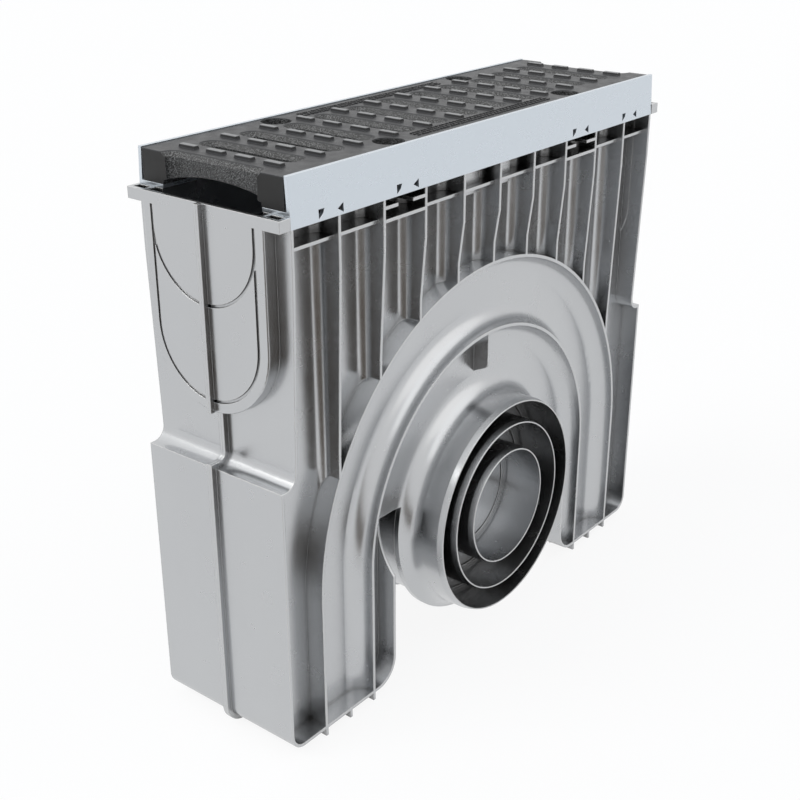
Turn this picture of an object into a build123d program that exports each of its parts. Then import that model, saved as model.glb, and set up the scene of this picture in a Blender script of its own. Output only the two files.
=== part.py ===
"""Channel drain sump: two moulded half shells with stepped pipe spigots, steel edge rails,
a cast-iron grate with its lock plugs, and a sediment bucket with a swinging bail.

Millimetres. X runs along the channel, Y across it with the front outlet towards -Y, and Z is up
from the underside of the feet. The origin is the middle of the base.
"""
import os
from math import asin, cos, degrees, radians, sqrt

from build123d import *

os.makedirs("parts", exist_ok=True)

# Overall
channel_length = 500.0
height = 476.0
shoulder_step = 15.0
end_clearance = 0.3

# Moulded shells
wall = 3.0
rib = 2.6
wall_depth = 54.0
rib_depth_top = 76.0
rib_depth_low = 71.5
bay_count = 10
rib_pitch = channel_length / bay_count
rib_taper_start = 76.0
rib_taper_lift = 18.0
soft_radius = 9.0
arch_foot_radius = 16.0
shoulder_drop = 234.0
cove_lip = 1.0
foot_height = 7.0
foot_pitch = 30.5
leg_inner = 133.0
leg_radius_out = 15.0
leg_radius_in = 23.0
notch_rise = 30.0
notch_radius = 11.0
leg_sweep_start = 110.0
leg_sweep_sagitta = 5.0
seam_height = 4.3
seam_thickness = 2.7

# Rim under the rails
rim_drop = 28.0
rim_thickness = 9.0
rim_overhang = 11.5
rim_half_width = 70.0
tongue_half_width = 76.5
rim_groove_width = 6.5
rim_groove_depth = 5.0

# Outlet and the two arches round it
outlet_height = 129.0
spigot_diameters = (200.0, 160.0, 110.0)
spigot_wall = 2.5
spigot_reach = 95.0
score_inset = 4.0
score_width = 1.6
score_depth = 1.6
spigot_lead = 5.5
spigot_lead_drop = 1.5
flare_radius = 18.0
flare_limit = 7.0
outer_arch_radius = 225.0
inner_arch_radius = 163.5
tab_drop = 34.0
tab_slope = 8.0
tab_depth = 69.0
tab_radius = 5.0

# Shelf ribs below the rim
shelf_drop = 52.0
shelf_setback = 5.0
ledge_drop = 42.0
ledge_length = 16.0
boss_centre = 22.0
boss_width = 20.0
boss_reach = 9.0
boss_drop = 8.5

# Knock-out panel on each end
panel_half_width = 61.0
panel_arc_drop = 127.0
score_half_width = 52.8
shallow_arc_drop = 52.0
groove_width = 2.4
groove_depth = 1.5
groove_lift = 3.5
panel_rib_width = 4.6
panel_rib_height = 4.2

# Edge rails
rail_height = 37.0
rail_half_width_top = 74.25
rail_half_width_low = 76.3
rail_thickness = 3.0
seat_half_width = 50.0
hole_drop = 32.0
hole_width = 6.3
hole_height = 7.0
hole_gap = 19.8
end_hole_centre = 208.5

# Grate
grate_fit = 0.5
grate_drop = 0.8
bar_depth = 15.0
slot_width = 13.0
slot_length = 92.0
slot_bevel = 4.0
bevel_angle = 45.0
lock_web = 0.8
beam_inner = 49.5
stud_length = 16.5
stud_width = 5.2
stud_height = 2.4
stud_pitch = 28.5
stud_rows = 12
bar_pitch = channel_length / stud_rows
studs_per_row = 4
stud_draft = 12.0

# Lock plugs in the grate
lock_diameter = 25.0
lock_centre_x = 122.5
lock_centre_y = 57.5
lock_fit = 0.3
lock_recess = 6.0
lock_tongue_width = 12.0
lock_tongue_depth = 5.0
lock_hook = 2.5
lock_hook_height = 4.0
plug_edge_radius = 1.0

# Sediment bucket and its bail
sheet = 1.5
bucket_end_gap = 16.0
bucket_side_gap = 5.0
bucket_depth = 167.0
bucket_draft = 3.0
bucket_drop = 69.0
bucket_lip = 12.0
bucket_flange = 3.0
ledge_half_width = 40.0
bucket_ledge_reach = 11.0
bucket_ledge_depth = 8.0
drain_slot_length = 24.0
drain_slot_width = 5.0
drain_columns = 9
drain_rows = 3
drain_pitch = 48.0
drain_rise = 34.0
wire = 5.0
pin_clearance = 0.3
bail_inset = 5.0
bail_corner = 9.0
pivot_drop = 4.4

# Levels and half lengths that follow
upper_half = channel_length / 2
lower_half = upper_half + shoulder_step
cove_radius = shoulder_step - wall - cove_lip
rim_top = height - rim_drop
rim_bottom = rim_top - rim_thickness
shoulder = height - shoulder_drop
shelf_level = height - shelf_drop
ledge_level = height - ledge_drop
notch_top = outlet_height + notch_rise
neck_radius = spigot_diameters[0] / 2 + wall
end_face = upper_half + rim_overhang
panel_arc_level = height - panel_arc_drop
shallow_arc_level = height - shallow_arc_drop
rail_bottom = height - rail_height
seat_top = rim_top + rail_thickness
grate_top = height - grate_drop
grate_half_width = rail_half_width_top - rail_thickness - grate_fit
pocket_centre_x = (bay_count / 2 - 2.5) * rib_pitch
lock_slot_length = 2 * (lock_centre_y - lock_diameter / 2 - lock_web - slot_bevel)
bucket_rim = height - bucket_drop
bucket_ledge_top = bucket_rim - sheet
pivot_level = bucket_rim - pivot_drop
inner_half_width = wall_depth - wall
bucket_half_length = upper_half - wall - bucket_end_gap
bucket_half_width = inner_half_width - bucket_side_gap


def vessel_outline(inset, top):
    """Front outline of the vessel, every edge moved inwards by inset, closed off at the height top."""
    neck = neck_radius - inset
    lift = notch_top + inset - outlet_height
    neck_angle = degrees(asin(lift / neck))
    cove_centre = upper_half + cove_radius
    out_centre = lower_half - leg_radius_out
    in_centre = leg_inner + leg_radius_in
    notch_centre = leg_inner - notch_radius
    with BuildSketch() as outline:
        with BuildLine():
            Polyline((0, top), (upper_half - inset, top), (upper_half - inset, shoulder + cove_radius))
            CenterArc((cove_centre, shoulder + cove_radius), cove_radius + inset, 180, 90)
            Polyline(
                (cove_centre, shoulder - inset),
                (lower_half - inset, shoulder - inset),
                (lower_half - inset, foot_height + leg_radius_out),
            )
            CenterArc((out_centre, foot_height + leg_radius_out), leg_radius_out - inset, 0, -90)
            Line((out_centre, foot_height + inset), (in_centre, foot_height + inset))
            CenterArc((in_centre, foot_height + leg_radius_in), leg_radius_in - inset, -90, -90)
            Line(
                (leg_inner + inset, foot_height + leg_radius_in),
                (leg_inner + inset, notch_top - notch_radius),
            )
            CenterArc((notch_centre, notch_top - notch_radius), notch_radius + inset, 0, 90)
            Line((notch_centre, notch_top + inset), (neck * cos(radians(neck_angle)), notch_top + inset))
            CenterArc((0, outlet_height), neck, neck_angle, -90 - neck_angle)
            mirror(about=Plane.YZ)
        make_face()
    return outline.sketch


def u_outline(half_width, arc_level, top):
    """An upright U: straight sides down from top and a half circle below arc_level."""
    with BuildSketch() as outline:
        with Locations((0, (top + arc_level) / 2)):
            Rectangle(2 * half_width, top - arc_level)
        with Locations((0, arc_level)):
            Circle(half_width)
    return outline.sketch


def u_band(half_width, arc_level, top):
    """The same U as a narrow band, for a score line."""
    with BuildSketch() as band:
        add(u_outline(half_width, arc_level, top))
        add(u_outline(half_width - groove_width, arc_level, top), mode=Mode.SUBTRACT)
    return band.sketch


def arch_section():
    """Cross-section of the two arch ribs with their soft feet, X from the outlet axis, Y across."""
    skin = wall / 3
    first = inner_arch_radius - rib - arch_foot_radius - skin
    last = outer_arch_radius + soft_radius + skin
    with BuildSketch() as section:
        with Locations(((first + last) / 2, -wall_depth + skin / 2)):
            Rectangle(last - first, skin)
        for radius in (inner_arch_radius, outer_arch_radius):
            with Locations((radius - rib / 2, -(wall_depth + rib_depth_low) / 2)):
                Rectangle(rib, rib_depth_low - wall_depth)
        feet = [
            corner
            for corner in section.vertices()
            if abs(corner.Y + wall_depth) < wall / 10 and first + skin < corner.X < last - skin
        ]
        feet = ShapeList(feet).sort_by(Axis.X)
        fillet(feet[:-1], radius=arch_foot_radius)
        fillet(feet[-1], radius=soft_radius)
    return section.sketch


def arch_level(x):
    """Height at which a rib at x lands in the middle of the outer arch."""
    return outlet_height + sqrt((outer_arch_radius - rib / 2) ** 2 - x**2)


# One end of the shell: the hollow knock-out panel, seen as a raised U on the end wall
with BuildPart() as end_panel:
    with BuildSketch(Plane.YZ.offset(upper_half - wall)):
        add(u_outline(panel_half_width, panel_arc_level, rim_top))
    extrude(amount=end_face - upper_half + wall)
    fillet(end_panel.edges().filter_by(GeomType.CIRCLE).sort_by(Axis.X)[-1], radius=wall / 2)
    with BuildSketch(Plane.YZ.offset(end_face)):
        with Locations((0, (rim_top + panel_arc_level - panel_half_width) / 2)):
            Rectangle(panel_rib_width, rim_top - panel_arc_level + panel_half_width)
    extrude(amount=panel_rib_height)
    with BuildSketch(Plane.YZ.offset(end_face - groove_depth)):
        add(u_band(score_half_width, panel_arc_level, rim_bottom + groove_lift))
    extrude(amount=groove_depth, mode=Mode.SUBTRACT)
    with BuildSketch(Plane.YZ.offset(end_face - groove_depth)):
        add(u_band(score_half_width, shallow_arc_level, rim_bottom + groove_lift))
    extrude(amount=groove_depth, mode=Mode.SUBTRACT)
    split(bisect_by=Plane.XZ)

with BuildPart() as end_recess:
    with BuildSketch(Plane.YZ.offset(upper_half - 2 * wall)):
        add(u_outline(inner_half_width, panel_arc_level, rim_top + wall))
    extrude(amount=2 * wall)
    with BuildSketch(Plane.YZ.offset(upper_half)):
        add(u_outline(panel_half_width - wall, panel_arc_level, rim_top + wall))
    extrude(amount=rim_overhang - wall)
    split(bisect_by=Plane.XZ)

# Front half shell
with BuildPart() as front_shell:
    # Vessel, open at the top and at the mid-plane
    with BuildSketch(Plane.XZ):
        add(vessel_outline(0, rim_top))
    extrude(amount=wall_depth)

    # Upright ribs with soft feet, standing on the outer arch
    with BuildSketch(Plane.XY.offset(outlet_height)):
        with Locations((0, -(inner_half_width + rib_depth_top) / 2)):
            Rectangle(2 * upper_half, rib_depth_top - inner_half_width)
        bay = rib_pitch - rib
        bay_depth = 2 * (rib_depth_top - wall_depth)
        with Locations((0, -wall_depth - bay_depth / 2)):
            with GridLocations(rib_pitch, 0, bay_count, 1):
                RectangleRounded(bay, bay_depth, soft_radius, mode=Mode.SUBTRACT)
    extrude(amount=rim_bottom - outlet_height)
    with BuildSketch(Plane.XZ.offset(wall_depth)):
        with Locations((0, outlet_height)):
            Circle(outer_arch_radius - rib / 2)
        bay_edge = (bay_count / 2 - 1) * rib_pitch + rib / 2 + soft_radius
        with Locations((0, (outlet_height + rim_bottom) / 2)):
            with GridLocations(upper_half + bay_edge, 0, 2, 1):
                Rectangle(upper_half - bay_edge, rim_bottom - outlet_height)
    extrude(amount=rib_depth_top - wall_depth, mode=Mode.SUBTRACT)
    rib_count = bay_count - 1
    for number in range(rib_count):
        rib_x = (number - (rib_count - 1) / 2) * rib_pitch
        landing = arch_level(rib_x)
        with BuildSketch(Plane.YZ.offset(rib_x)):
            Polygon(
                (-rib_depth_top, height - rib_taper_start),
                (-rib_depth_low, landing + rib_taper_lift),
                (-rib_depth_low, outlet_height),
                (-rib_depth_top - wall, outlet_height),
                (-rib_depth_top - wall, height - rib_taper_start),
                align=None,
            )
        extrude(amount=rib, both=True, mode=Mode.SUBTRACT)

    # Walls carried forward round the ends, the bottoms and the inner sides of the legs
    with BuildSketch(Plane.XZ.offset(inner_half_width)):
        add(vessel_outline(0, rim_bottom))
        add(vessel_outline(rib, rim_bottom + wall), mode=Mode.SUBTRACT)
        with Locations((0, height / 2)):
            Rectangle(2 * leg_inner, height, mode=Mode.SUBTRACT)
    extrude(amount=rib_depth_top - inner_half_width)
    with BuildSketch(Plane.YZ):
        Polygon(
            (-rib_depth_top, height - rib_taper_start),
            (-rib_depth_low, shoulder),
            (-rib_depth_low, 0),
            (-rib_depth_top - wall, 0),
            (-rib_depth_top - wall, height - rib_taper_start),
            align=None,
        )
    extrude(amount=lower_half, both=True, mode=Mode.SUBTRACT)
    with BuildSketch(Plane.YZ):
        with BuildLine():
            sweep_line = SagittaArc(
                (-rib_depth_low, leg_sweep_start), (-wall_depth, notch_top), -leg_sweep_sagitta
            )
            Polyline(
                sweep_line @ 1,
                (-rib_depth_top, notch_top),
                (-rib_depth_top, leg_sweep_start),
                sweep_line @ 0,
            )
        make_face()
    extrude(amount=leg_inner + rib, both=True, mode=Mode.SUBTRACT)

    # Arches: one section turned over the outlet and carried down both legs
    with BuildSketch(Plane.XY.offset(outlet_height)):
        add(arch_section())
    revolve(axis=Axis((0, 0, outlet_height), (0, 1, 0)), revolution_arc=-180)
    with BuildSketch(Plane.XY.offset(foot_height + rib)):
        add(arch_section())
        mirror(about=Plane.YZ)
    extrude(amount=outlet_height - foot_height - rib)

    # Short centre rib between the arches, and the tab below them
    centre_rib_top = outlet_height + outer_arch_radius - rib
    centre_rib_foot = outlet_height + inner_arch_radius - rib / 2
    with BuildSketch(Plane.XY.offset(centre_rib_foot)) as centre_rib:
        centre_skin = wall / 3
        with Locations((0, -wall_depth + centre_skin / 2)):
            Rectangle(2 * (arch_foot_radius + centre_skin) + rib, centre_skin)
        with Locations((0, -(wall_depth + rib_depth_low) / 2)):
            Rectangle(rib, rib_depth_low - wall_depth)
        centre_feet = centre_rib.vertices().filter_by_position(
            Axis.Y, -wall_depth - centre_skin / 2, -wall_depth + centre_skin / 2
        )
        fillet(centre_feet.filter_by_position(Axis.X, -rib, rib), radius=arch_foot_radius)
    extrude(amount=centre_rib_top - centre_rib_foot)
    with BuildSketch(Plane.YZ) as tab:
        Polygon(
            (-tab_depth, centre_rib_foot),
            (-tab_depth, centre_rib_foot - tab_drop),
            (-inner_half_width, centre_rib_foot - tab_drop - tab_slope),
            (-inner_half_width, centre_rib_foot),
            align=None,
        )
        fillet(tab.vertices().sort_by(Axis.X)[:2].sort_by(Axis.Y)[0], radius=tab_radius)
    extrude(amount=rib / 2, both=True)

    # Shelf ribs below the rim, and the split ledges either side of each lock pocket
    with BuildSketch(Plane.XY.offset(shelf_level - rib)):
        shelf_front = rib_depth_top - shelf_setback
        with Locations((0, -(inner_half_width + shelf_front) / 2)):
            Rectangle(2 * upper_half - rib, shelf_front - inner_half_width)
    extrude(amount=rib)
    with BuildSketch(Plane.XY.offset(shelf_level - rib)):
        with Locations((0, -(inner_half_width + rib_depth_top) / 2)):
            with GridLocations(2 * pocket_centre_x, 0, 2, 1):
                Rectangle(rib_pitch - rib / 2, rib_depth_top - inner_half_width)
    extrude(amount=rib)
    with BuildSketch(Plane.XY.offset(ledge_level - rib)):
        with Locations((0, -(inner_half_width + rib_depth_top) / 2)):
            for side in (-1, 1):
                with Locations((side * pocket_centre_x, 0)):
                    with GridLocations(rib_pitch - ledge_length, 0, 2, 1):
                        Rectangle(ledge_length, rib_depth_top - inner_half_width)
    extrude(amount=rib)

    # Bosses in the two middle bays
    with BuildSketch(Plane.XY.offset(shelf_level - boss_drop)):
        with Locations((0, -(inner_half_width + wall_depth + boss_reach) / 2)):
            with GridLocations(2 * boss_centre, 0, 2, 1):
                Rectangle(boss_width, wall_depth + boss_reach - inner_half_width)
    extrude(amount=rim_bottom - shelf_level + boss_drop)

    # Rim flange with the tongues that reach past the rails, and its end grooves
    with BuildSketch(Plane.XY.offset(rim_bottom)):
        with Locations((0, -rim_half_width / 2)):
            Rectangle(2 * end_face, rim_half_width)
        tongue_length = rim_overhang - end_clearance
        with Locations((0, -tongue_half_width / 2)):
            with GridLocations(2 * end_face - tongue_length, 0, 2, 1):
                Rectangle(tongue_length, tongue_half_width)
    extrude(amount=rim_thickness)
    with BuildSketch(Plane.XY.offset(rim_top - rim_groove_depth)):
        groove_centre = end_face - wall - rim_groove_width / 2
        with Locations((0, -(rim_half_width + wall) / 2)):
            with GridLocations(2 * groove_centre, 0, 2, 1):
                Rectangle(rim_groove_width, rim_half_width + wall)
    extrude(amount=rim_groove_depth, mode=Mode.SUBTRACT)
    with BuildSketch(Plane.XY.offset(rim_bottom)):
        pocket_depth = rim_half_width - wall_depth - wall
        with Locations((0, -wall_depth - pocket_depth / 2)):
            with GridLocations(2 * lock_centre_x, 0, 2, 1):
                Rectangle(rib_pitch / 2, pocket_depth)
    extrude(amount=rim_thickness, mode=Mode.SUBTRACT)

    # Knock-out panels on both ends
    add(end_panel.part)
    add(mirror(end_panel.part, about=Plane.YZ, mode=Mode.PRIVATE))

    # Seam flange on the mid-plane
    with BuildSketch(Plane.XZ):
        add(vessel_outline(-seam_height, rim_bottom))
    extrude(amount=seam_thickness)

    # Feet: cross ribs under each leg
    with BuildSketch(Plane.XY):
        with Locations((0, -rib_depth_low / 2)):
            for side in (-1, 1):
                with Locations((side * (inner_arch_radius - rib / 2 + foot_pitch), 0)):
                    with GridLocations(foot_pitch, 0, 3, 1):
                        Rectangle(rib, rib_depth_low)
    extrude(amount=foot_height + rib)

    # Inside of the vessel
    with BuildSketch(Plane.XZ):
        add(vessel_outline(wall, rim_top + wall))
    extrude(amount=inner_half_width, mode=Mode.SUBTRACT)
    add(end_recess.part, mode=Mode.SUBTRACT)
    add(mirror(end_recess.part, about=Plane.YZ, mode=Mode.PRIVATE), mode=Mode.SUBTRACT)

    # Ledges that carry the bucket
    with BuildSketch(Plane.XZ):
        for side in (-1, 1):
            ledge_root = side * (end_face - wall / 2)
            ledge_tip = side * (upper_half - wall - bucket_ledge_reach)
            Polygon(
                (ledge_root, bucket_ledge_top),
                (ledge_tip, bucket_ledge_top),
                (ledge_tip, bucket_ledge_top - bucket_ledge_depth / 2),
                (ledge_root, bucket_ledge_top - bucket_ledge_depth / 2 - (end_face - upper_half) - wall),
                align=None,
            )
    extrude(amount=ledge_half_width)

    # Stepped pipe spigots, with a soft flare where the largest leaves the wall
    with BuildSketch(Plane.XY.offset(outlet_height)):
        for diameter in spigot_diameters:
            spigot_radius = diameter / 2
            Polygon(
                (spigot_radius - spigot_wall, -inner_half_width),
                (spigot_radius, -inner_half_width),
                (spigot_radius, spigot_lead - spigot_reach),
                (spigot_radius - spigot_lead_drop, -spigot_reach),
                (spigot_radius - spigot_wall, -spigot_reach),
                align=None,
            )
    revolve(axis=Axis((0, 0, outlet_height), (0, 1, 0)))
    with BuildSketch(Plane.XY.offset(outlet_height)):
        spigot_radius = spigot_diameters[0] / 2
        with BuildLine():
            flare = CenterArc(
                (spigot_radius + flare_radius, -wall_depth - flare_radius), flare_radius, 90, 90
            )
            Polyline(
                flare @ 1,
                (spigot_radius - spigot_wall, -wall_depth - flare_radius),
                (spigot_radius - spigot_wall, -inner_half_width),
                (spigot_radius + flare_radius, -inner_half_width),
                flare @ 0,
            )
        make_face()
    revolve(axis=Axis((0, 0, outlet_height), (0, 1, 0)))
    with BuildSketch(Plane.XZ.offset(inner_half_width)):
        with Locations((0, notch_top - height / 2)):
            Rectangle(2 * leg_inner, height)
        with Locations((0, outlet_height)):
            Circle(neck_radius + flare_limit, mode=Mode.SUBTRACT)
    extrude(amount=flare_radius + wall, mode=Mode.SUBTRACT)
    with BuildSketch(Plane.XZ.offset(wall_depth - score_depth)):
        with Locations((0, outlet_height)):
            for diameter in spigot_diameters:
                score_radius = diameter / 2 - spigot_wall - score_inset
                Circle(score_radius)
                Circle(score_radius - score_width, mode=Mode.SUBTRACT)
    extrude(amount=score_depth, mode=Mode.SUBTRACT)
front_shell.part.label = "front_shell"

with BuildPart() as rear_shell:
    mirror(front_shell.part, about=Plane.XZ)
rear_shell.part.label = "rear_shell"

# Front edge rail: slanted web, seat for the grate, punched key holes
with BuildPart() as front_edge_rail:
    slant = (rail_half_width_low - rail_half_width_top) / rail_height
    seat_outer = rail_half_width_low - rail_thickness - slant * (rim_top - rail_bottom)
    with BuildSketch(Plane.YZ.offset(-upper_half)):
        Polygon(
            (-rail_half_width_top, height),
            (-rail_half_width_low, rail_bottom),
            (rail_thickness - rail_half_width_low, rail_bottom),
            (-seat_outer, rim_top),
            (-seat_half_width, rim_top),
            (-seat_half_width, seat_top),
            (-seat_outer, seat_top),
            (rail_thickness - rail_half_width_top, height),
            align=None,
        )
    extrude(amount=channel_length)
    with BuildSketch(Plane.XZ.offset(seat_outer - rail_thickness)):
        for centre in (lock_centre_x, end_hole_centre):
            for side in (-1, 1):
                with Locations((side * centre, height - hole_drop)):
                    half_gap = hole_gap / 2
                    half_hole = hole_width / 2
                    Polygon(
                        (-half_gap - half_hole, hole_height / 2),
                        (-half_gap + half_hole, hole_height / 2),
                        (-half_gap + half_hole / 2, 0),
                        (-half_gap - half_hole, -hole_height / 2),
                        align=None,
                    )
                    Polygon(
                        (half_gap + half_hole, hole_height / 2),
                        (half_gap - half_hole, 0),
                        (half_gap + half_hole, -hole_height / 2),
                        align=None,
                    )
    extrude(amount=3 * rail_thickness, mode=Mode.SUBTRACT)
    with BuildSketch(Plane.XY.offset(rim_top)):
        with Locations((0, -lock_centre_y)):
            with GridLocations(2 * lock_centre_x, 0, 2, 1):
                Rectangle(lock_tongue_width + 2 * lock_fit, lock_tongue_depth + 2 * lock_fit)
    extrude(amount=rail_thickness, mode=Mode.SUBTRACT)
front_edge_rail.part.label = "front_edge_rail"

with BuildPart() as rear_edge_rail:
    mirror(front_edge_rail.part, about=Plane.XZ)
rear_edge_rail.part.label = "rear_edge_rail"

# Grate: slotted plate between two deep edge beams, with anti-slip studs
with BuildPart() as grate:
    with BuildSketch(Plane.XY.offset(seat_top)):
        Rectangle(channel_length, 2 * grate_half_width)
    extrude(amount=grate_top - seat_top)
    with BuildSketch(Plane.YZ.offset(-upper_half)):
        bar_bottom = grate_top - bar_depth
        with BuildLine():
            crown = ThreePointArc(
                (-beam_inner, seat_top + (bar_bottom - seat_top) / 3),
                (0, bar_bottom),
                (beam_inner, seat_top + (bar_bottom - seat_top) / 3),
            )
            Polyline(crown @ 1, (beam_inner, seat_top), (-beam_inner, seat_top), crown @ 0)
        make_face()
    extrude(amount=channel_length, mode=Mode.SUBTRACT)
    for number in range(stud_rows + 1):
        slot_x = (number - stud_rows / 2) * bar_pitch
        near_lock = abs(abs(slot_x) - lock_centre_x) < bar_pitch / 2
        length = lock_slot_length if near_lock else slot_length
        with BuildSketch(Plane.XY.offset(seat_top)):
            with Locations((slot_x, 0)):
                SlotOverall(length, slot_width, rotation=90)
        extrude(amount=grate_top - seat_top, mode=Mode.SUBTRACT)
        with BuildSketch(Plane.XY.offset(grate_top)):
            with Locations((slot_x, 0)):
                SlotOverall(length + 2 * slot_bevel, slot_width + 2 * slot_bevel, rotation=90)
        extrude(amount=-slot_bevel, taper=bevel_angle, mode=Mode.SUBTRACT)
    with BuildSketch(Plane.XY.offset(seat_top)):
        with GridLocations(2 * lock_centre_x, 2 * lock_centre_y, 2, 2):
            Circle(lock_diameter / 2)
    extrude(amount=grate_top - seat_top, mode=Mode.SUBTRACT)
    with BuildSketch(Plane.XY.offset(grate_top)):
        with GridLocations(bar_pitch, stud_pitch, stud_rows, studs_per_row):
            Rectangle(stud_width, stud_length)
    extrude(amount=stud_height, taper=stud_draft)
grate.part.label = "grate"

# Lock plugs: round body in the grate, tongue through the rail seat, hook below it
lock_number = 0
for side_x in (-1, 1):
    for side_y in (-1, 1):
        lock_number += 1
        with BuildPart() as lock_plug:
            centre_x = side_x * lock_centre_x
            centre_y = side_y * lock_centre_y
            with BuildSketch(Plane.XY.offset(seat_top)):
                with Locations((centre_x, centre_y)):
                    Circle(lock_diameter / 2 - lock_fit)
            extrude(amount=grate_top - lock_recess - seat_top)
            with BuildSketch(Plane.YZ.offset(centre_x)):
                tongue_in = centre_y - side_y * lock_tongue_depth / 2
                tongue_out = centre_y + side_y * lock_tongue_depth / 2
                hook_out = tongue_out + side_y * lock_hook
                hook_top = rim_top - lock_fit
                Polygon(
                    (tongue_in, seat_top + wall),
                    (tongue_in, hook_top - lock_hook_height),
                    (tongue_out, hook_top - lock_hook_height),
                    (hook_out, hook_top),
                    (tongue_out, hook_top),
                    (tongue_out, seat_top + wall),
                    align=None,
                )
            extrude(amount=lock_tongue_width / 2, both=True)
            fillet(lock_plug.edges().group_by(Axis.Z)[-1], radius=plug_edge_radius)
        lock_plug.part.label = f"lock_plug_{lock_number}"
        export_step(lock_plug.part, f"parts/lock_plug_{lock_number}.step")

# Sediment bucket: drafted sheet tub with a rolled flange, end lips and drain slots
with BuildPart() as sediment_bucket:
    corner = 4 * bucket_flange
    with BuildSketch(Plane.XY.offset(bucket_rim)):
        RectangleRounded(2 * bucket_half_length, 2 * bucket_half_width, corner)
    extrude(amount=-bucket_depth, taper=bucket_draft)
    with BuildSketch(Plane.XY.offset(bucket_rim - sheet)):
        Rectangle(2 * (bucket_half_length + bucket_lip), 2 * (bucket_half_width - bucket_flange))
        RectangleRounded(
            2 * (bucket_half_length + bucket_flange),
            2 * (bucket_half_width + bucket_flange),
            corner + bucket_flange,
        )
    extrude(amount=sheet)
    with BuildSketch(Plane.XY.offset(bucket_rim)):
        RectangleRounded(2 * (bucket_half_length - sheet), 2 * (bucket_half_width - sheet), corner - sheet)
    extrude(amount=-(bucket_depth - sheet), taper=bucket_draft, mode=Mode.SUBTRACT)
    with BuildSketch(Plane.XZ.offset(-2 * bucket_half_width)):
        drain_level = bucket_rim - bucket_depth + drain_rise * (drain_rows + 1) / 2
        with Locations((0, drain_level)):
            with GridLocations(drain_pitch, drain_rise, drain_columns, drain_rows):
                SlotOverall(drain_slot_length, drain_slot_width)
    extrude(amount=4 * bucket_half_width, mode=Mode.SUBTRACT)
    with BuildSketch(Plane.YZ.offset(-2 * bucket_half_length)):
        with Locations((0, pivot_level)):
            Circle(wire / 2 + pin_clearance)
    extrude(amount=4 * bucket_half_length, mode=Mode.SUBTRACT)
sediment_bucket.part.label = "sediment_bucket"

# Bail: one wire whose ends turn out through the bucket's ends, lying on the front flange
with BuildPart() as bucket_handle:
    bar_y = -bucket_half_width
    bar_z = bucket_rim + wire / 2 + 2 * pin_clearance
    arm_x = bucket_half_length - sheet - bail_inset
    pin_x = bucket_half_length + bail_inset / 2
    with BuildLine():
        FilletPolyline(
            (-pin_x, 0, pivot_level),
            (-arm_x + wire / 2, 0, pivot_level),
            (-arm_x + wire, bar_y, bar_z),
            (arm_x - wire, bar_y, bar_z),
            (arm_x - wire / 2, 0, pivot_level),
            (pin_x, 0, pivot_level),
            radius=[wire, bail_corner, bail_corner, wire],
        )
    with BuildSketch(Plane.YZ.offset(-pin_x)):
        with Locations((0, pivot_level)):
            Circle(wire / 2)
    sweep()
bucket_handle.part.label = "bucket_handle"

export_step(front_shell.part, "parts/front_shell.step")
export_step(rear_shell.part, "parts/rear_shell.step")
export_step(front_edge_rail.part, "parts/front_edge_rail.step")
export_step(rear_edge_rail.part, "parts/rear_edge_rail.step")
export_step(grate.part, "parts/grate.step")
export_step(sediment_bucket.part, "parts/sediment_bucket.step")
export_step(bucket_handle.part, "parts/bucket_handle.step")
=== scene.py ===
"""Looks of the channel drain sump: its materials, the marks on its grate, the studio and the camera.

Metres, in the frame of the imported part: X along the channel, -Y towards the front outlet, Z up.
"""
from math import pi, radians, sin

import bmesh
import bpy
from mathutils import Matrix, Vector


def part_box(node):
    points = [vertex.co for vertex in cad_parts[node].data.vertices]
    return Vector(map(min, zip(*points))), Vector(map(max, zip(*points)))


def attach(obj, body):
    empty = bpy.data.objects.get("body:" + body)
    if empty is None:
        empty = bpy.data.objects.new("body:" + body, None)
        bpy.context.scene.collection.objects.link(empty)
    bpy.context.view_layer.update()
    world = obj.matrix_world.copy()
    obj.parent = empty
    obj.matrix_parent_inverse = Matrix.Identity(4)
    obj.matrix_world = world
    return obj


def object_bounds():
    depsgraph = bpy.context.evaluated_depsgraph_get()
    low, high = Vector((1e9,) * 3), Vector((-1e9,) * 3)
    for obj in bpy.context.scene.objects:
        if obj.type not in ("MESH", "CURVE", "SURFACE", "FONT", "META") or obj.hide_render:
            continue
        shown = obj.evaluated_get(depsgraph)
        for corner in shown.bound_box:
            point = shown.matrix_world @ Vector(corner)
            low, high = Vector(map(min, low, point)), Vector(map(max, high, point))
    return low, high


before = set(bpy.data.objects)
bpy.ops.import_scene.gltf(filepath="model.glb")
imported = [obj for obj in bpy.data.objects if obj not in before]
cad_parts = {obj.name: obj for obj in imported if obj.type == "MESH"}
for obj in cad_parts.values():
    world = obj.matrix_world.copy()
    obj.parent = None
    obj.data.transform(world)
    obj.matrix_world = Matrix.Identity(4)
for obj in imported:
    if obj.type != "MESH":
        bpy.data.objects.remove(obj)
cad_low, cad_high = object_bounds()

# Camera
camera_place = (-0.85496, -0.654715, 0.68411)
camera_azimuth = radians(-51.307)
camera_elevation = radians(23.909)
camera_roll = radians(-0.072)
camera_lens = 57.58
sensor_width = 36.0

# Background and floor; the whiteness is the share of plain white that camera and gloss see on the floor
white = (1.0, 1.0, 1.0, 1)
white_strength = 1.0
floor_size = 60.0
floor_colour = (0.90, 0.92, 0.95, 1)
floor_roughness = 0.6
floor_specular = 0.2
floor_whiteness = 0.9

# Light
ambient_colour = (0.93, 0.96, 1.0, 1)
ambient_strength = 0.62
key_colour = (1.0, 0.99, 0.97)
key_strength = 1.5
key_angle = radians(35)
key_from = (-0.75, 0.35, 0.85)
fill_colour = (1.0, 0.97, 0.94)
fill_strength = 0.35
fill_angle = radians(60)
fill_from = (0.5, -0.9, 0.8)

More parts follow.
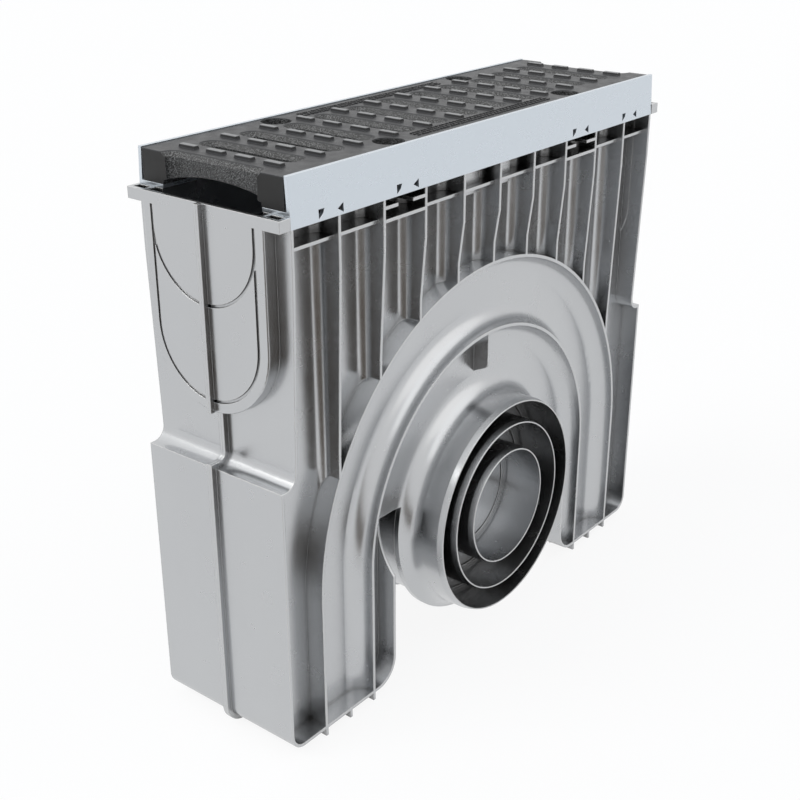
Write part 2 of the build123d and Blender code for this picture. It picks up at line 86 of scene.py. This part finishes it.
# Cards that only reflections see: a dark one on the floor, turned about its back right corner,
# and a bright one overhead
dark_colour = (0.105, 0.082, 0.062, 1)
dark_strength = 1.0
floor_card_size = (1.6, 1.7)
floor_card_corner = (-0.47, -0.22)
floor_card_turn = radians(18)
floor_card_lift = 0.003
overhead_size = (10.0, 10.0)
overhead_height = 6.0
overhead_strength = 1.5

# Raised marks along the grate's borders: each fills a share of its pitch, which waves from mark to mark
plug_depth = 0.006
mark_height = 0.0008
mark_width = 0.0014
mark_rows = (0.0545, 0.0585, 0.0625)
mark_reach = 0.094
mark_pitch = 0.0046
least_share = 0.35
share_range = 0.5
column_wave = 2.4
row_wave = 1.9

# Masks that the materials share: bands of edge turn, of open sky at edges and clefts, and of noise; the
# edge bands place painted highlights, the cleft band painted shade
bevel_samples = 6
sky_samples = 6
sky_reach_in_radii = 4
edge_turn_band = (0.97, 0.72)
edge_sky_band = (0.85, 0.97)
cleft_sky_band = (0.62, 0.30)
noise_band = (0.3, 0.7)

# Detail of the noises: grain needs little, and clouds much
grain_detail = 2.0
cloud_detail = 4.0

# Which of the materials each node wears; the lock plugs wear the plug's
node_materials = {
    "front_shell": "shell",
    "rear_shell": "shell",
    "front_edge_rail": "rail",
    "rear_edge_rail": "rail",
    "grate": "iron",
    "sediment_bucket": "bucket",
    "bucket_handle": "bucket",
}


def add_node(tree, kind, inputs=None, **settings):
    """Adds a node; an input is a value or another node's output, by socket name or number."""
    node = tree.nodes.new(kind)
    for name, value in settings.items():
        setattr(node, name, value)
    for name, value in (inputs or {}).items():
        if isinstance(value, bpy.types.NodeSocket):
            tree.links.new(value, node.inputs[name])
        else:
            node.inputs[name].default_value = value
    return node


def noise(tree, place, scale, detail=3.0, roughness=0.55, stretch=None):
    """Noise in the part's own coordinates; stretch scales the three directions apart."""
    if stretch:
        mapping = add_node(tree, "ShaderNodeMapping", {"Vector": place, "Scale": stretch})
        place = mapping.outputs["Vector"]
    inputs = {"Vector": place, "Scale": scale, "Detail": detail, "Roughness": roughness}
    return add_node(tree, "ShaderNodeTexNoise", inputs).outputs["Fac"]


def spread(tree, value, band, to_band=(0.0, 1.0)):
    """Maps the band's two ends to those of to_band, held beyond them."""
    inputs = {
        "Value": value,
        "From Min": band[0],
        "From Max": band[1],
        "To Min": to_band[0],
        "To Max": to_band[1],
    }
    return add_node(tree, "ShaderNodeMapRange", inputs).outputs["Result"]


def maths(tree, operation, first, second):
    return add_node(tree, "ShaderNodeMath", {0: first, 1: second}, operation=operation).outputs[0]


def times(tree, first, second):
    return maths(tree, "MULTIPLY", first, second)


def blend_colours(tree, amount, first, second):
    """Blends two colours; a Mix node's colours are its inputs 6 and 7 and its output 2."""
    inputs = {"Factor": amount, 6: first, 7: second}
    return add_node(tree, "ShaderNodeMix", inputs, data_type="RGBA").outputs[2]


def new_tree(name):
    """A new material and its node tree."""
    material = bpy.data.materials.new(name)
    material.use_nodes = True
    return material, material.node_tree


def node_of_type(tree, kind):
    return next(node for node in tree.nodes if node.type == kind)


class Surface:
    """A material in the making: its node tree and shader, and the sockets that its looks are drawn from.

    place is the part's own coordinates, soft the normal with rounded edges, open_sky how open a point
    lies, and edge the mask of the outward edges.
    """

    def __init__(self, name, edge_radius):
        self.material, self.tree = new_tree(name)
        tree = self.tree
        self.shader = node_of_type(tree, "BSDF_PRINCIPLED")
        self.place = add_node(tree, "ShaderNodeTexCoord").outputs["Object"]
        bevel = add_node(tree, "ShaderNodeBevel", {"Radius": edge_radius}, samples=bevel_samples)
        self.soft = bevel.outputs["Normal"]
        flat = add_node(tree, "ShaderNodeNewGeometry").outputs["Normal"]
        inputs = {0: self.soft, 1: flat}
        turn = add_node(tree, "ShaderNodeVectorMath", inputs, operation="DOT_PRODUCT").outputs["Value"]
        self.open_sky = self.openness(sky_reach_in_radii * edge_radius, sky_samples)
        turned = spread(tree, turn, edge_turn_band)
        self.edge = times(tree, turned, spread(tree, self.open_sky, edge_sky_band))

    def openness(self, reach, samples):
        """1 where nothing stands within reach, 0 where all is covered."""
        inputs = {"Distance": reach}
        return add_node(self.tree, "ShaderNodeAmbientOcclusion", inputs, samples=samples).outputs["AO"]

    def finish(self, colour, roughness, height, strength, distance):
        """Links the colour, the roughness and the bump to the shader and returns the material."""
        inputs = {"Strength": strength, "Distance": distance, "Height": height, "Normal": self.soft}
        bump = add_node(self.tree, "ShaderNodeBump", inputs).outputs["Normal"]
        self.tree.links.new(colour, self.shader.inputs["Base Color"])
        self.tree.links.new(roughness, self.shader.inputs["Roughness"])
        self.tree.links.new(bump, self.shader.inputs["Normal"])
        return self.material


def moulded_shell():
    """Satin silver-grey moulding with faint flow marks, pale edges painted as a patchy highlight, and
    painted shade in its clefts and deep recesses.
    """
    dark_tone = (0.49, 0.50, 0.515, 1)
    light_tone = (0.53, 0.54, 0.55, 1)
    cloud_scale = 9.0
    grain_scale = 2600.0

    flow_colour = (0.50, 0.50, 0.50, 1)
    flow_scale = 60.0
    flow_stretch = (1.0, 1.0, 0.12)
    flow_band = (0.35, 0.75)
    flow_show = 0.12
    flow_height = 0.6

    edge_radius = 0.0011
    # Painted highlight: the outward edges are painted pale and less metallic, in patches from noise
    edge_highlight_colour = (0.80, 0.785, 0.76, 1)
    edge_metal = 0.25
    highlight_patch_scale = 140.0
    highlight_patch_band = (0.3, 0.6)
    highlight_patch_show = (0.8, 1)

    # Painted shade: clefts and grooves, where little sky is open close by, are painted near black
    cleft_shade_colour = (0.03, 0.03, 0.03, 1)
    cleft_shade_show = 0.8
    # Painted shade: deep in the bays and recesses, where little sky is open within 5 cm, a warm dark brown
    # is painted
    recess_shade_colour = (0.07, 0.066, 0.062, 1)
    depth_reach = 0.05
    depth_samples = 5
    recess_shade_band = (0.34, 0.18)
    recess_shade_show = (0, 0.9)

    rough_scale = 45.0
    rough_range = (0.24, 0.28)
    bump_strength = 0.05
    bump_distance = 0.0002

    surface = Surface("moulded_shell", edge_radius)
    tree = surface.tree
    place = surface.place
    grain = noise(tree, place, grain_scale, grain_detail)
    flow = noise(tree, place, flow_scale, stretch=flow_stretch)
    clouds = noise(tree, place, cloud_scale, cloud_detail)
    body = blend_colours(tree, clouds, dark_tone, light_tone)
    body = blend_colours(tree, spread(tree, flow, flow_band, (0, flow_show)), body, flow_colour)
    # Painted highlight on the outward edges, in patches
    highlight_patches = spread(tree, noise(tree, place, highlight_patch_scale), highlight_patch_band, highlight_patch_show)
    edge_highlight_mask = times(tree, surface.edge, highlight_patches)
    body = blend_colours(tree, edge_highlight_mask, body, edge_highlight_colour)
    # Painted shade in the clefts
    cleft_shade_mask = spread(tree, surface.open_sky, cleft_sky_band)
    body = blend_colours(tree, times(tree, cleft_shade_mask, cleft_shade_show), body, cleft_shade_colour)
    # Painted shade deep in the recesses
    depth = spread(tree, surface.openness(depth_reach, depth_samples), recess_shade_band, recess_shade_show)
    body = blend_colours(tree, depth, body, recess_shade_colour)
    rough = spread(tree, noise(tree, place, rough_scale, cloud_detail), noise_band, rough_range)
    metal = spread(tree, edge_highlight_mask, (0, 1), (1, edge_metal))
    tree.links.new(metal, surface.shader.inputs["Metallic"])
    height = maths(tree, "ADD", grain, times(tree, flow, flow_height))
    return surface.finish(body, rough, height, bump_strength, bump_distance)


def galvanised_steel(name, dark_tone, light_tone, spangle_size, spangle_show):
    """Zinc-coated sheet: faint spangle, drawn lines along X, and edges brightened with a painted highlight.
    """
    edge_radius = 0.0005
    # Painted highlight: the edges are painted near white
    edge_highlight_colour = (0.97, 0.98, 1.0, 1)
    edge_highlight_show = 0.6
    line_scale = 700.0
    line_stretch = (0.03, 1.0, 1.0)
    rough_band = (0.4, 1.6)
    spangle_roughness = 0.25
    rough_range = (0.27, 0.28 + spangle_roughness * spangle_show)
    bump_strength = 0.08
    bump_distance = 0.0002
    metal = 0.9

    surface = Surface(name, edge_radius)
    tree = surface.tree
    inputs = {"Vector": surface.place, "Scale": 1 / spangle_size}
    cells = add_node(tree, "ShaderNodeTexVoronoi", inputs).outputs["Color"]
    spangle = add_node(tree, "ShaderNodeSeparateColor", {"Color": cells}).outputs["Red"]
    lines = noise(tree, surface.place, line_scale, grain_detail, stretch=line_stretch)
    body = blend_colours(tree, times(tree, spangle, spangle_show), dark_tone, light_tone)
    # Painted highlight on the edges
    body = blend_colours(tree, times(tree, surface.edge, edge_highlight_show), body, edge_highlight_colour)
    rough = spread(tree, maths(tree, "ADD", spangle, lines), rough_band, rough_range)
    surface.shader.inputs["Metallic"].default_value = metal
    return surface.finish(body, rough, lines, bump_strength, bump_distance)


def cast_iron():
    """Dipped casting: smooth flats, sandy slot walls with painted shade deep down and painted light on
    their sand, pale stud tops and dark sides painted as highlight and shade, and edges with a painted
    highlight.
    """
    dark_tone = (0.018, 0.019, 0.021, 1)
    light_tone = (0.036, 0.038, 0.042, 1)
    tone_scale = 40.0
    # Painted shade: all deeper than 3.6 mm under the stud tops is painted near black; painted light: sandy
    # speckles on the slot walls there
    deep_shade_colour = (0.008, 0.008, 0.008, 1)
    lit_sand_colour = (0.17, 0.173, 0.175, 1)
    # Painted shade on the studs' sides and a painted highlight on their tops
    stud_side_shade_colour = (0.012, 0.012, 0.013, 1)
    stud_top_highlight_colour = (0.24, 0.245, 0.25, 1)

    # Bands of depth under the stud tops, and of distance from the end faces
    wall_depths = (0.0028, 0.0036)
    stud_side_depths = (0.0021, 0.0017)
    stud_top_depths = (0.0005, 0.0001)
    end_distances = (0.0002, 0.0008)

    sand_scale = 1100.0
    sand_roughness = 0.6
    fine_scale = 2600.0
    speckle_band = (0.45, 0.66)
    smooth_height = 0.2
    fine_height = 0.15

    edge_radius = 0.0008
    # Painted highlight: the edges are painted a lighter grey, in patches from the sand noise, less on the
    # studs
    edge_highlight_colour = (0.18, 0.185, 0.195, 1)
    highlight_patch_band = (0.35, 0.6)
    highlight_patch_show = (0.3, 1)
    stud_edge_highlight_show = 0.3

    rough_scale = 90.0
    rough_range = (0.36, 0.50)
    bump_strength = 0.6
    bump_distance = 0.0008
    metal = 0.25

    surface = Surface("cast_iron", edge_radius)
    tree = surface.tree
    place = surface.place
    grate_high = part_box("grate")[1]
    axes = add_node(tree, "ShaderNodeSeparateXYZ", {"Vector": place}).outputs

    def in_depths(depths):
        return spread(tree, axes["Z"], [grate_high.z - depth for depth in depths])

    along = add_node(tree, "ShaderNodeMath", {0: axes["X"]}, operation="ABSOLUTE").outputs[0]
    off_ends = spread(tree, along, [grate_high.x - distance for distance in end_distances])
    below = in_depths(wall_depths)
    walls = times(tree, below, off_ends)
    studs = in_depths(stud_side_depths)
    sand = noise(tree, place, sand_scale, grain_detail, sand_roughness)
    fine = noise(tree, place, fine_scale, grain_detail)
    clouds = noise(tree, place, tone_scale, cloud_detail)
    body = blend_colours(tree, clouds, dark_tone, light_tone)
    # Painted shade deep down, and painted light in sandy speckles on the slot walls
    body = blend_colours(tree, below, body, deep_shade_colour)
    speckle = spread(tree, sand, speckle_band)
    body = blend_colours(tree, times(tree, walls, speckle), body, lit_sand_colour)
    # Painted shade on the stud sides, then a painted highlight on the stud tops
    body = blend_colours(tree, studs, body, stud_side_shade_colour)
    body = blend_colours(tree, in_depths(stud_top_depths), body, stud_top_highlight_colour)
    # Painted highlight on the edges
    edge_highlight_mask = times(tree, surface.edge, spread(tree, sand, highlight_patch_band, highlight_patch_show))
    edge_highlight_mask = times(tree, edge_highlight_mask, spread(tree, studs, (0, 1), (1, stud_edge_highlight_show)))
    body = blend_colours(tree, edge_highlight_mask, body, edge_highlight_colour)
    rough = spread(tree, noise(tree, place, rough_scale), noise_band, rough_range)
    sand_height = times(tree, sand, spread(tree, walls, (0, 1), (smooth_height, 1)))
    height = maths(tree, "ADD", sand_height, times(tree, fine, fine_height))
    surface.shader.inputs["Metallic"].default_value = metal
    return surface.finish(body, rough, height, bump_strength, bump_distance)


def black_plug():
    """Matt black moulded plastic, with a painted highlight on its edges."""
    dark_tone = (0.014, 0.014, 0.015, 1)
    light_tone = (0.026, 0.026, 0.028, 1)
    tone_scale = 120.0
    edge_radius = 0.0006
    # Painted highlight: the edges are painted a lighter grey
    edge_highlight_colour = (0.07, 0.07, 0.075, 1)
    edge_highlight_show = 0.6
    rough_scale = 300.0
    rough_range = (0.42, 0.58)
    grain_scale = 1800.0
    bump_strength = 0.2
    bump_distance = 0.0003

    surface = Surface("black_plug", edge_radius)
    tree = surface.tree
    place = surface.place
    body = blend_colours(tree, noise(tree, place, tone_scale), dark_tone, light_tone)
    # Painted highlight on the edges
    body = blend_colours(tree, times(tree, surface.edge, edge_highlight_show), body, edge_highlight_colour)
    rough = spread(tree, noise(tree, place, rough_scale), noise_band, rough_range)
    return surface.finish(body, rough, noise(tree, place, grain_scale), bump_strength, bump_distance)


def make_materials():
    """The rail's sheet is fine and pale; the bucket's is darker, with a spangle that shows."""
    rail_tones = ((0.60, 0.65, 0.70, 1), (0.64, 0.69, 0.73, 1))
    rail_spangle = {"spangle_size": 0.006, "spangle_show": 0.06}
    bucket_tones = ((0.50, 0.52, 0.55, 1), (0.66, 0.68, 0.71, 1))
    bucket_spangle = {"spangle_size": 0.009, "spangle_show": 0.35}
    return {
        "shell": moulded_shell(),
        "rail": galvanised_steel("rail_steel", *rail_tones, **rail_spangle),
        "bucket": galvanised_steel("bucket_steel", *bucket_tones, **bucket_spangle),
        "iron": cast_iron(),
        "plug": black_plug(),
    }


def paint_frame(materials):
    """Gives every node of the part its material."""
    for name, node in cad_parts.items():
        for slot in node.material_slots:
            slot.material = materials[node_materials.get(name, "plug")]


def mark_grate(iron):
    """Short raised dashes in rows along the front and back borders of the grate."""
    mesh = bmesh.new()
    plate_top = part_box("lock_plug_1")[1].z + plug_depth
    columns = int(2 * mark_reach / mark_pitch)
    for side in (-1, 1):
        for row, across in enumerate(mark_rows):
            for column in range(columns):
                wave = 0.5 + 0.5 * sin(column_wave * column + row_wave * row + side)
                length = mark_pitch * (least_share + share_range * wave)
                along = mark_pitch * (column + 0.5) - mark_reach
                centre = Vector((along, side * across, plate_top))
                size = Vector((length, mark_width, 2 * mark_height))
                bmesh.ops.create_cube(mesh, matrix=Matrix.LocRotScale(centre, None, size))
    data = bpy.data.meshes.new("grate_marks")
    mesh.to_mesh(data)
    mesh.free()
    data.materials.append(iron)
    marks = bpy.data.objects.new("grate_marks", data)
    bpy.context.scene.collection.objects.link(marks)
    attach(marks, "sump")


def background_rays(tree):
    """1 for rays that show the plain background: the camera's, and those that gloss and glass send on."""
    path = add_node(tree, "ShaderNodeLightPath").outputs
    seen = maths(tree, "MAXIMUM", path["Is Camera Ray"], path["Is Glossy Ray"])
    return maths(tree, "MAXIMUM", seen, path["Is Transmission Ray"])


def build_floor():
    """Pale floor that keeps the shadow; the camera and gloss see it nearly as white as the background."""
    bpy.ops.mesh.primitive_plane_add(size=floor_size, location=(0, 0, cad_low.z))
    floor = bpy.context.object
    floor.name = "studio_floor"
    material, tree = new_tree("studio_floor")
    shader = node_of_type(tree, "BSDF_PRINCIPLED")
    shader.inputs["Base Color"].default_value = floor_colour
    shader.inputs["Roughness"].default_value = floor_roughness
    shader.inputs["Specular IOR Level"].default_value = floor_specular
    plain = add_node(tree, "ShaderNodeEmission", {"Color": white, "Strength": white_strength})
    share = times(tree, background_rays(tree), floor_whiteness)
    inputs = {0: share, 1: shader.outputs[0], 2: plain.outputs[0]}
    mixed = add_node(tree, "ShaderNodeMixShader", inputs)
    output = node_of_type(tree, "OUTPUT_MATERIAL")
    tree.links.new(mixed.outputs[0], output.inputs["Surface"])
    floor.data.materials.append(material)


def build_world():
    """Even soft light round the object, on a plain white background."""
    world = bpy.data.worlds.new("studio")
    bpy.context.scene.world = world
    world.use_nodes = True
    tree = world.node_tree
    tree.nodes.clear()
    inputs = {"Color": ambient_colour, "Strength": ambient_strength}
    ambient = add_node(tree, "ShaderNodeBackground", inputs)
    plain = add_node(tree, "ShaderNodeBackground", {"Color": white, "Strength": white_strength})
    inputs = {0: background_rays(tree), 1: ambient.outputs[0], 2: plain.outputs[0]}
    mixed = add_node(tree, "ShaderNodeMixShader", inputs)
    output = add_node(tree, "ShaderNodeOutputWorld")
    tree.links.new(mixed.outputs[0], output.inputs["Surface"])


def add_card(name, size, placement, colour, strength):
    """A studio card that only reflections see; it casts no shadow and gives no diffuse light."""
    bpy.ops.mesh.primitive_plane_add(size=1)
    card = bpy.context.object
    card.name = name
    card.matrix_world = placement @ Matrix.Diagonal((*size, 1, 1))
    material, tree = new_tree(name)
    tree.nodes.clear()
    glow = add_node(tree, "ShaderNodeEmission", {"Color": colour, "Strength": strength})
    output = add_node(tree, "ShaderNodeOutputMaterial")
    tree.links.new(glow.outputs[0], output.inputs["Surface"])
    card.data.materials.append(material)
    card.visible_camera = False
    card.visible_diffuse = False
    card.visible_transmission = False
    card.visible_shadow = False


def build_cards():
    """The dark card gives the ribs their shaded side, the bright one overhead the shoulders their shine."""
    length, width = floor_card_size
    corner = Matrix.Translation((*floor_card_corner, cad_low.z + floor_card_lift))
    turn = Matrix.Rotation(floor_card_turn, 4, "Z")
    inward = Matrix.Translation((-length / 2, -width / 2, 0))
    add_card("dark_floor_card", floor_card_size, corner @ turn @ inward, dark_colour, dark_strength)
    above = Matrix.Translation((0, 0, overhead_height))
    add_card("overhead_card", overhead_size, above, white, overhead_strength)


def add_sun(name, strength, angle, comes_from, colour):
    data = bpy.data.lights.new(name, "SUN")
    data.energy = strength
    data.angle = angle
    data.color = colour
    sun = bpy.data.objects.new(name, data)
    sun.rotation_mode = "QUATERNION"
    sun.rotation_quaternion = Vector(comes_from).to_track_quat("Z", "Y")
    bpy.context.scene.collection.objects.link(sun)


def build_camera():
    data = bpy.data.cameras.new("camera")
    data.lens = camera_lens
    data.sensor_width = sensor_width
    camera = bpy.data.objects.new("camera", data)
    turn = Matrix.Rotation(camera_azimuth, 4, "Z")
    tilt = Matrix.Rotation(pi / 2 - camera_elevation, 4, "X")
    roll = Matrix.Rotation(camera_roll, 4, "Z")
    camera.matrix_world = Matrix.Translation(camera_place) @ turn @ tilt @ roll
    bpy.context.scene.collection.objects.link(camera)
    bpy.context.scene.camera = camera


materials = make_materials()
paint_frame(materials)
mark_grate(materials["iron"])
build_floor()
build_world()
build_cards()
add_sun("key", key_strength, key_angle, key_from, key_colour)
add_sun("fill", fill_strength, fill_angle, fill_from, fill_colour)
build_camera()
bpy.context.scene.view_settings.view_transform = "Standard"
